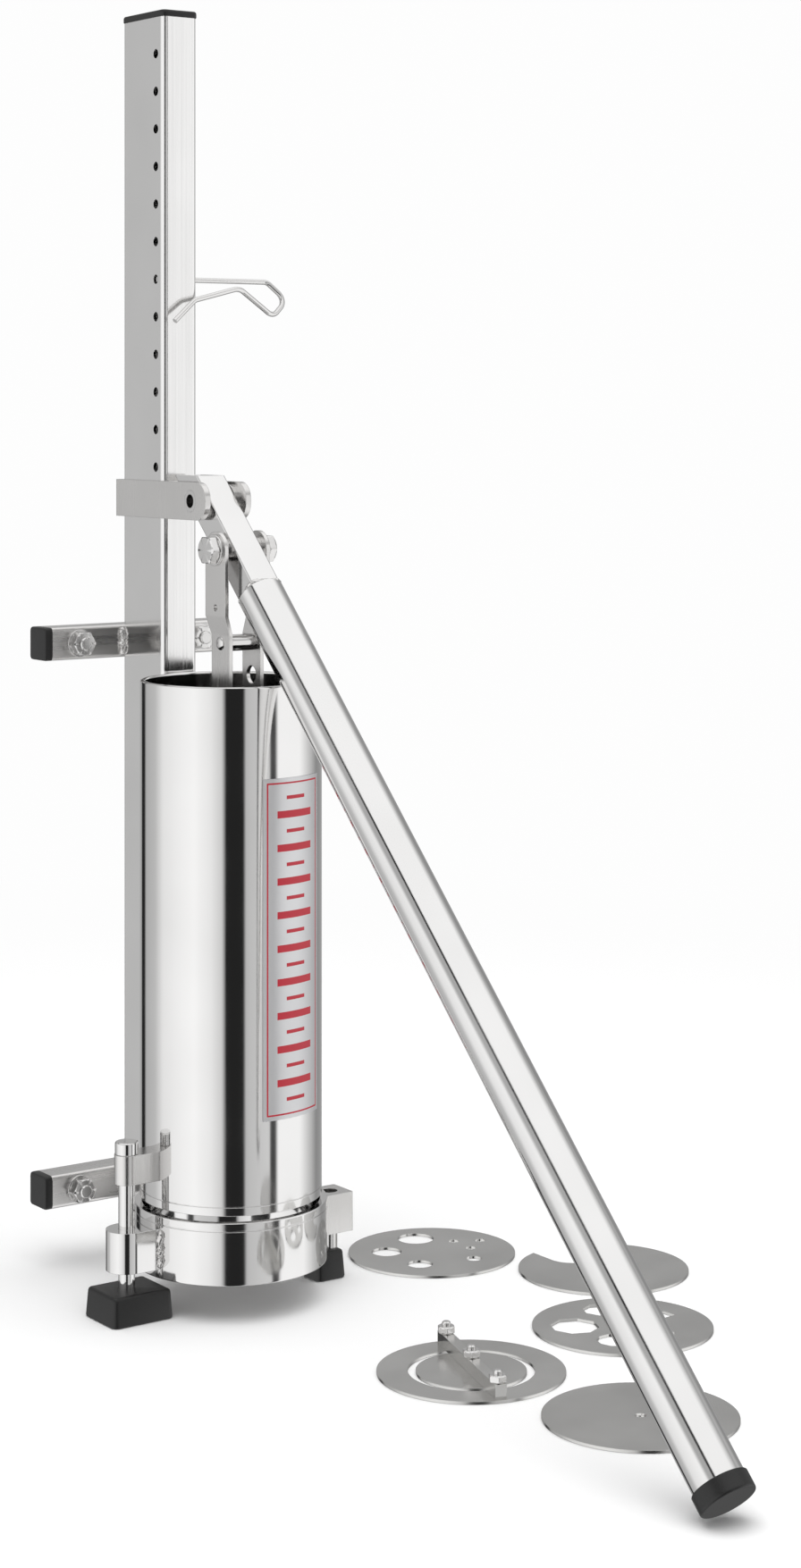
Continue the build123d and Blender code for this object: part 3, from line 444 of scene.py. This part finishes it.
def makeHeadWeld():
    # a lumpy bead that runs round the square head where the tube begins
    size = {"half": 12.2, "cornerReach": 15.2, "back": 91.2, "radius": 1.7, "points": 120, "lumps": 0.25,
            "seed": 1.3}
    u, v, w = sideAxes(leverAxis)
    t = np.linspace(0, 2 * math.pi, size["points"], endpoint=False)
    reach = size["half"] / np.maximum(abs(np.cos(t)), abs(np.sin(t)))
    reach = np.minimum(reach, size["cornerReach"])[:, None]
    path = fulcrum + size["back"] * w + reach * (np.cos(t)[:, None] * u + np.sin(t)[:, None] * v)
    bead = weldBead(path, size["radius"], size["lumps"], size["seed"], closed=True)
    addPiece("head_weld_bead", bead, "lever", weldSteel, "head_weld")


makeLever()
makeHeadWeld()
print("lever made")


# fasteners
def nutShape(origin, axis, across, height, bore=None, chamfer=0.9):
    # a disc as wide as the corners, chamfered at both faces and cut to six flats by spun.
    # Without a bore it is a bolt head
    size = {"faceDip": 0.3, "cornerDip": 0.2, "blend": 0.6, "around": 96}
    corner = across / math.sqrt(3)
    dipped, blend = corner - size["cornerDip"], chamfer + size["blend"]
    inner, face = bore or poleRadius, across / 2 - size["faceDip"]
    pts = [(inner, 0), (face, 0), (dipped, chamfer), (corner, blend), (corner, height - blend),
           (dipped, height - chamfer), (face, height), (inner, height)]
    return spun(np.array(pts, float), origin, axis, size["around"], closed=bore is not None, across=across)


def washerShape(origin, axis, outer, bore, thickness):
    # a flat ring, rounded most at the outer edge that shows
    size = {"lowBore": 0.1, "lowEdge": 0.3, "topEdge": 0.5, "topBore": 0.2, "around": 64}
    profile = rounded([(bore, 0, size["lowBore"]), (outer, 0, size["lowEdge"]),
                       (outer, thickness, size["topEdge"]), (bore, thickness, size["topBore"])])
    return spun(profile, origin, axis, size["around"])


def rodShape(origin, axis, radius, length):
    # a rod with bevelled ends, and one more ring past each bevel to keep the side straight
    bevel, guard, around = 0.8, 1.0, 64
    pts = [(poleRadius, 0), (radius - bevel, 0), (radius, bevel), (radius, guard), (radius, length - guard),
           (radius, length - bevel), (radius - bevel, length), (poleRadius, length)]
    return spun(np.array(pts, float), origin, axis, around, closed=False)


def makeWallFixings():
    size = {"across": 106, "bar": 25, "washer": 2, "washerRadius": 10.5, "nut": 8, "flats": 17, "radius": 5,
            "end": 2, "tail": 24, "tailRadius": 4.5}
    studLength = size["bar"] + size["washer"] + size["nut"] + size["end"]
    toWall, toFront = (0, 1, 0), (0, -1, 0)
    studs, washers, nuts = [], [], []
    for x in (-size["across"] / 2, size["across"] / 2):
        for z in (-barRise, barRise):
            studs.append(rodShape((x, 0, z), toFront, size["radius"], studLength))
            studs.append(rodShape((x, 0, z), toWall, size["tailRadius"], size["tail"]))
            washers.append(washerShape((x, -size["bar"], z), toFront, size["washerRadius"], size["radius"],
                                       size["washer"]))
            nuts.append(nutShape((x, -size["bar"] - size["washer"], z), toFront, size["flats"], size["nut"],
                                 size["radius"]))
    addPiece("wall_stud_set", joined(studs), "frame", bright, "wall_studs")
    addPiece("wall_washer_set", joined(washers), "frame", bright, "wall_washers")
    addPiece("wall_nut_set", joined(nuts), "frame", bright, "wall_nuts")


def makePlungerBolt():
    size = {"flats": 19, "head": 7, "radius": 6, "washer": 2, "washerRadius": 11.5, "end": 2, "sink": 0.1}
    outside = strapOutside + size["washer"]
    shankStart = -outside + size["sink"]
    shankLength = outside + size["head"] + size["end"] - shankStart
    bolt = joined([nutShape((-outside, boltY, boltZ), (-1, 0, 0), size["flats"], size["head"]),
                   rodShape((shankStart, boltY, boltZ), (1, 0, 0), size["radius"], shankLength)])
    nut = nutShape((outside, boltY, boltZ), (1, 0, 0), size["flats"], size["head"], size["radius"])
    washers = joined([washerShape((side * strapOutside, boltY, boltZ), (side, 0, 0), size["washerRadius"],
                                  size["radius"], size["washer"]) for side in (-1, 1)])
    addPiece("plunger_bolt_skin", bolt, "plunger", bright, "plunger_bolt")
    addPiece("plunger_nut_skin", nut, "plunger", bright, "plunger_nut")
    addPiece("plunger_washer_set", washers, "plunger", bright, "plunger_washers")


def makeRivet():
    # a spacer between the straps and a low round head outside each
    size = {"inside": 11.8, "strap": 3, "shank": 3, "spacer": 6, "head": 5, "rise": 2, "drop": 68,
            "arcEnd": 1.54, "arcPoints": 9, "around": 48}
    place = (0, boltY, boltZ - size["drop"])
    inside, start = size["inside"], size["inside"] + size["strap"]
    spacer = np.array([(poleRadius, -inside), (size["spacer"], -inside), (size["spacer"], inside),
                       (poleRadius, inside)], float)
    t = np.linspace(0, size["arcEnd"], size["arcPoints"])
    dome = np.stack([size["head"] * np.cos(t), start + size["rise"] * np.sin(t)], -1)
    head = np.concatenate([[(size["shank"], inside), (size["shank"], start)], dome])
    parts = [spun(spacer, place, (1, 0, 0), size["around"], closed=False)]
    parts += [spun(head, place, (side, 0, 0), size["around"], closed=False) for side in (-1, 1)]
    addPiece("strap_rivet_skin", joined(parts), "plunger", bright, "strap_rivet")


def makeHingePin():
    size = {"x": -88, "radius": 6, "low": -254, "top": -148, "head": 8.5, "headHeight": 9, "footEdge": 0.8,
            "neckEdge": 0.4, "headEdge": 0.6, "topEdge": 1.6, "around": 64}
    headTop = size["top"] + size["headHeight"]
    profile = rounded([(poleRadius, size["low"], 0), (size["radius"], size["low"], size["footEdge"]),
                       (size["radius"], size["top"], size["neckEdge"]),
                       (size["head"], size["top"], size["headEdge"]),
                       (size["head"], headTop, size["topEdge"]), (poleRadius, headTop, 0)], closed=False)
    pin = spun(profile, (size["x"], barrelY, 0), (0, 0, 1), size["around"], closed=False)
    addPiece("hinge_pin_skin", pin, "frame", mirror, "hinge_pin")


def makePipeDieFixings():
    # three bolts through the pipe die's bridge, each with a nut on top
    size = {"x": 40, "y": barrelY - 240, "reach": 53.5, "turn": math.radians(72), "plate": 2, "bridge": 9,
            "nut": 5, "flats": 11, "radius": 3, "rise": 8, "chamfer": 0.6}
    stack = size["plate"] + size["bridge"]
    bolts, nuts = [], []
    for step in (-size["reach"], 0, size["reach"]):
        x, y = size["x"] + step * math.cos(size["turn"]), size["y"] + step * math.sin(size["turn"])
        bolts.append(rodShape((x, y, floorHeight), (0, 0, 1), size["radius"], stack + size["rise"]))
        nuts.append(nutShape((x, y, floorHeight + stack), (0, 0, 1), size["flats"], size["nut"],
                             size["radius"], size["chamfer"]))
    addPiece("pipe_die_bolt_set", joined(bolts), "pipe_die", bright, "pipe_die_bolts")
    addPiece("pipe_die_nut_set", joined(nuts), "pipe_die", bright, "pipe_die_nuts")


makeWallFixings()
makePlungerBolt()
makeRivet()
makeHingePin()
makePipeDieFixings()
print("fasteners made")


# weld beads
def uprightBead(x, y, low, high, radius, seed):
    points, lumps = 40, 0.3
    return weldBead(np.linspace((x, y, low), (x, y, high), points), radius, lumps, seed)


def makeBarWelds():
    # one bead down each side of the post, where the wall bars cross its back
    size = {"side": 16, "y": -26.2, "half": 10.5, "radius": 2.3}
    beads = [uprightBead(side * size["side"], size["y"], z - size["half"], z + size["half"], size["radius"],
                         z + side)
             for side in (-1, 1) for z in (-barRise, barRise)]
    addPiece("bar_weld_beads", joined(beads), "frame", weldSteel, "bar_welds")


def makeLugWelds():
    # two beads at each lug of the collar, a little proud of the corner that they fill
    size = {"collar": 70.5, "hingeHalf": 15, "latchHalf": 13, "outward": 0.4, "sideways": 0.5,
            "low": -229.5, "high": -202.5, "radius": 2.4}
    beads = []
    for side, half in ((-1, size["hingeHalf"]), (1, size["latchHalf"])):
        x = side * (math.sqrt(size["collar"] ** 2 - half ** 2) + size["outward"])
        for edge in (-1, 1):
            y = barrelY + edge * (half + size["sideways"])
            beads.append(uprightBead(x, y, size["low"], size["high"], size["radius"], side + 2 * edge))
    addPiece("lug_weld_beads", joined(beads), "collar", weldSteel, "lug_welds")


makeBarWelds()
makeLugWelds()
print("welds made")


# rubber feet and caps
def makeFeet():
    size = {"height": 21, "taper": 1.5, "corner": 5, "lowEdge": [(0, 1.0), (0.6, 0.2), (1.6, 0)],
            "topEdge": [(2.4, 0), (1.0, 0.5), (0.2, 1.6), (0, 2.8)],
            "feet": {"hinge_side_foot": ("frame", -86, 50, 44), "latch_side_foot": ("collar", 82, 26, 24)}}
    layers = edgeLayers(size["lowEdge"], size["topEdge"], size["height"], size["taper"])
    for node, (body, x, width, depth) in size["feet"].items():
        foot = block((x, barrelY, floorHeight), width, depth, size["corner"], layers)
        addPiece(node + "_skin", foot, body, rubber, node)


def makeBarCaps():
    size = {"bar": 25, "start": 76, "length": 6, "corner": 3, "lowEdge": [(-0.2, 0), (0.6, 0)],
            "topEdge": [(1.6, 0), (0.6, 0.35), (0.1, 1.1), (0, 2.2)]}
    layers = edgeLayers(size["lowEdge"], size["topEdge"], size["length"])
    for node, z in (("upper_bar_caps", barRise), ("lower_bar_caps", -barRise)):
        ends = [block((side * size["start"], -size["bar"] / 2, z), size["bar"], size["bar"], size["corner"],
                      layers, (side, 0, 0), (0, 1, 0)) for side in (-1, 1)]
        addPiece(node + "_skin", joined(ends), "frame", rubber, node)


def makePostCap():
    size = {"width": 31.2, "depth": 61.2, "y": -55, "low": 680, "height": 5, "corner": 4,
            "lowEdge": [(0, 0.3), (0.5, 0)], "topEdge": [(1.8, 0), (0.7, 0.4), (0.1, 1.2), (0, 2.4)]}
    layers = edgeLayers(size["lowEdge"], size["topEdge"], size["height"])
    cap = block((0, size["y"], size["low"]), size["width"], size["depth"], size["corner"], layers)
    addPiece("post_cap_skin", cap, "frame", rubber, "post_top_cap")


makeFeet()
makeBarCaps()
makePostCap()
print("rubber made")

# camera, in metres: it stands level, and the shift brings the part into its frame
viewSize = {"turn": math.radians(-35.5), "distance": 2.162, "left": 0.1242, "height": 0.39, "lens": 67.7,
            "sensor": 36, "shift": -0.2436, "clipEnd": 60}
turn = viewSize["turn"]
toCamera = np.array([math.sin(turn), -math.cos(turn), 0])
toRight = np.array([math.cos(turn), math.sin(turn), 0])


def makeCamera():
    place = np.array([0, barrelY * mm, viewSize["height"]])
    data = bpy.data.cameras.new("photoCamera")
    data.lens = viewSize["lens"]
    data.sensor_width = viewSize["sensor"]
    data.shift_y = viewSize["shift"]
    data.clip_end = viewSize["clipEnd"]
    camera = bpy.data.objects.new("photoCamera", data)
    camera.location = place + viewSize["distance"] * toCamera + viewSize["left"] * toRight
    camera.rotation_euler = (math.pi / 2, 0, turn)
    scene.collection.objects.link(camera)
    scene.camera = camera


makeCamera()

# floor, surroundings and light, in metres
backWhite = (0.985, 0.985, 0.985)


def makeFloor():
    # away from the object, what the camera sees turns into the plain background
    size = {"half": 14, "sink": 0.0002, "white": (0.95, 0.95, 0.95), "rough": 0.6, "shine": 0.1,
            "near": 0.7, "far": 1.8}
    z = floorHeight * mm - size["sink"]
    corners = [(x * size["half"], y * size["half"], z) for x, y in ((-1, -1), (1, -1), (1, 1), (-1, 1))]
    mesh = bpy.data.meshes.new("floor")
    mesh.from_pydata(corners, [], [(0, 1, 2, 3)])
    floor = bpy.data.objects.new("floor", mesh)
    scene.collection.objects.link(floor)
    mat, tree, shader = startMaterial("paleFloor")
    fill(tree, shader, {"Base Color": (*size["white"], 1), "Roughness": size["rough"],
                        "Specular IOR Level": size["shine"]})
    place = addNode(tree, "ShaderNodeTexCoord").outputs["Object"]
    away = addNode(tree, "ShaderNodeVectorMath", {0: place}, operation="LENGTH")
    fade = addNode(tree, "ShaderNodeMapRange", {"Value": away.outputs["Value"], "From Min": size["near"],
                                                "From Max": size["far"]}, interpolation_type="SMOOTHSTEP")
    seen = addNode(tree, "ShaderNodeLightPath").outputs["Is Camera Ray"]
    both = addNode(tree, "ShaderNodeMath", {0: fade.outputs["Result"], 1: seen}, operation="MULTIPLY")
    plain = addNode(tree, "ShaderNodeEmission", {"Color": (*backWhite, 1)})
    mix = addNode(tree, "ShaderNodeMixShader", {0: both.outputs[0], 1: shader.outputs[0],
                                                2: plain.outputs[0]})
    fill(tree, tree.nodes["Material Output"], {"Surface": mix.outputs[0]})
    mesh.materials.append(mat)
    # mirrors see the cards below the horizon too, so that their bands run down to the collar
    floor.visible_glossy = False


def addRamp(tree, place, stops):
    # a grey ramp; each stop is (position, brightness), and they run from 0 to 1
    ramp = addNode(tree, "ShaderNodeValToRGB", {"Fac": place})
    elements = ramp.color_ramp.elements
    for position, _ in stops[1:-1]:
        elements.new(position)
    for element, (position, value) in zip(elements, stops):
        element.position = position
        element.color = (value, value, value, 1)
    return ramp.outputs["Color"]


def makeStudio():
    # bright and dark cards stand round the object. Each is a direction in degrees from the
    # camera, positive to its right, and how bright the card there is
    cards = [(-180, 0.45), (-153, 0.4), (-149, 0.02), (-138, 0.02), (-132, 0.5), (-108, 0.6), (-92, 0.95),
             (-64, 1.08), (-44, 1.15), (-22, 1.0), (-8, 0.75), (-3, 0.02), (19, 0.02), (22, 0.6), (52, 0.75),
             (55, 0.06), (61, 0.08), (65, 1.1), (100, 1.1), (118, 0.7), (140, 0.3), (160, 0.35), (180, 0.45)]
    # the ceiling above them brightens with height. On the left a dark rail hangs below it,
    # which draws the thin black line down the lever
    leftCeiling = [(0, 0.4), (0.62, 0.5), (0.645, 0.02), (0.695, 0.02), (0.72, 1.1), (1, 1.1)]
    rightCeiling = [(0, 0.4), (0.5, 0.45), (0.75, 1.1), (1, 1.1)]
    size = {"ceilingStart": 0.3, "ceilingFull": 0.5, "middle": 0.1}
    world = bpy.data.worlds.new("studio")
    scene.world = world
    world.use_nodes = True
    tree = world.node_tree
    ray = addNode(tree, "ShaderNodeTexCoord").outputs["Generated"]

    def along(direction):
        node = addNode(tree, "ShaderNodeVectorMath", {0: ray, 1: direction}, operation="DOT_PRODUCT")
        return node.outputs["Value"]

    def between(value, low, high, way="LINEAR"):
        inputs = {"Value": value, "From Min": low, "From Max": high}
        return addNode(tree, "ShaderNodeMapRange", inputs, interpolation_type=way).outputs["Result"]

    up, right = along((0, 0, 1)), along(toRight)
    angle = addNode(tree, "ShaderNodeMath", {0: right, 1: along(toCamera)}, operation="ARCTAN2").outputs[0]
    around = addRamp(tree, between(angle, -math.pi, math.pi),
                     [((degrees + 180) / 360, value) for degrees, value in cards])
    ceiling = colourBetween(tree, between(right, -size["middle"], size["middle"]),
                            addRamp(tree, up, leftCeiling), addRamp(tree, up, rightCeiling))
    rise = between(up, size["ceilingStart"], size["ceilingFull"], "SMOOTHSTEP")
    lit = colourBetween(tree, rise, around, ceiling)
    seen = addNode(tree, "ShaderNodeLightPath").outputs["Is Camera Ray"]
    fill(tree, tree.nodes["Background"], {"Color": colourBetween(tree, seen, lit, backWhite)})


def makeOverheadLight():
    # a light shines along its own -Z: tilt it from straight down, then turn it to its aim
    size = {"place": (-0.3, -0.8, 3.0), "aim": (0, -0.3, 0.1), "width": 3.0, "power": 55}
    data = bpy.data.lights.new("overheadLight", "AREA")
    data.shape = "RECTANGLE"
    data.size = data.size_y = size["width"]
    data.energy = size["power"]
    light = bpy.data.objects.new("overheadLight", data)
    light.location = size["place"]
    x, y, z = np.array(size["aim"]) - np.array(size["place"])
    light.rotation_euler = (math.atan2(math.hypot(x, y), -z), 0, math.atan2(y, x) - math.pi / 2)
    light.visible_glossy = False
    scene.collection.objects.link(light)


makeFloor()
makeStudio()
makeOverheadLight()
scene.view_settings.view_transform = "Standard"
print("studio made")
